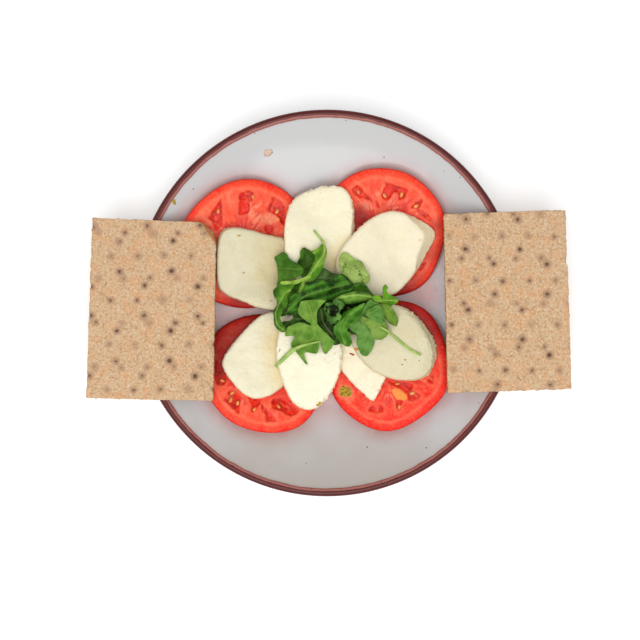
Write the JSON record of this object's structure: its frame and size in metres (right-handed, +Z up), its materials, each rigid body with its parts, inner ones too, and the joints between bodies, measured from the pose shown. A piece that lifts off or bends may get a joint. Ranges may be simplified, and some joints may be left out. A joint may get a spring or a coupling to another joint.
{
  "type": "tomato and mozzarella salad plate",
  "caption": "Tomato and mozzarella salad with rocket leaves on a round stoneware plate, with flat crispbreads laid across the rim.",
  "frame": {"origin": "on the table, under the middle of the plate's foot", "axes": "+Z up; +X from the left crispbread to the right one; +Y towards the far side of the plate"},
  "size_m": [0.3123, 0.25, 0.0575],
  "materials": {
    "stoneware": "gloss",
    "tomato": "gloss",
    "mozzarella": "satin",
    "rocket": "satin",
    "crispbread": "matte"
  },
  "bodies": {
    "root": {"plate": "stoneware", "tomato_slice_1": "tomato", "tomato_slice_2": "tomato", "tomato_slice_3": "tomato", "tomato_slice_4": "tomato", "mozzarella_slice_1": "mozzarella", "mozzarella_slice_2": "mozzarella", "mozzarella_slice_3": "mozzarella", "mozzarella_slice_4": "mozzarella", "mozzarella_slice_5": "mozzarella", "mozzarella_slice_6": "mozzarella", "mozzarella_slice_7": "mozzarella", "rocket_heap": "rocket", "crispbread_left": "crispbread", "crispbread_right": "crispbread"}
  },
  "joints": []
}
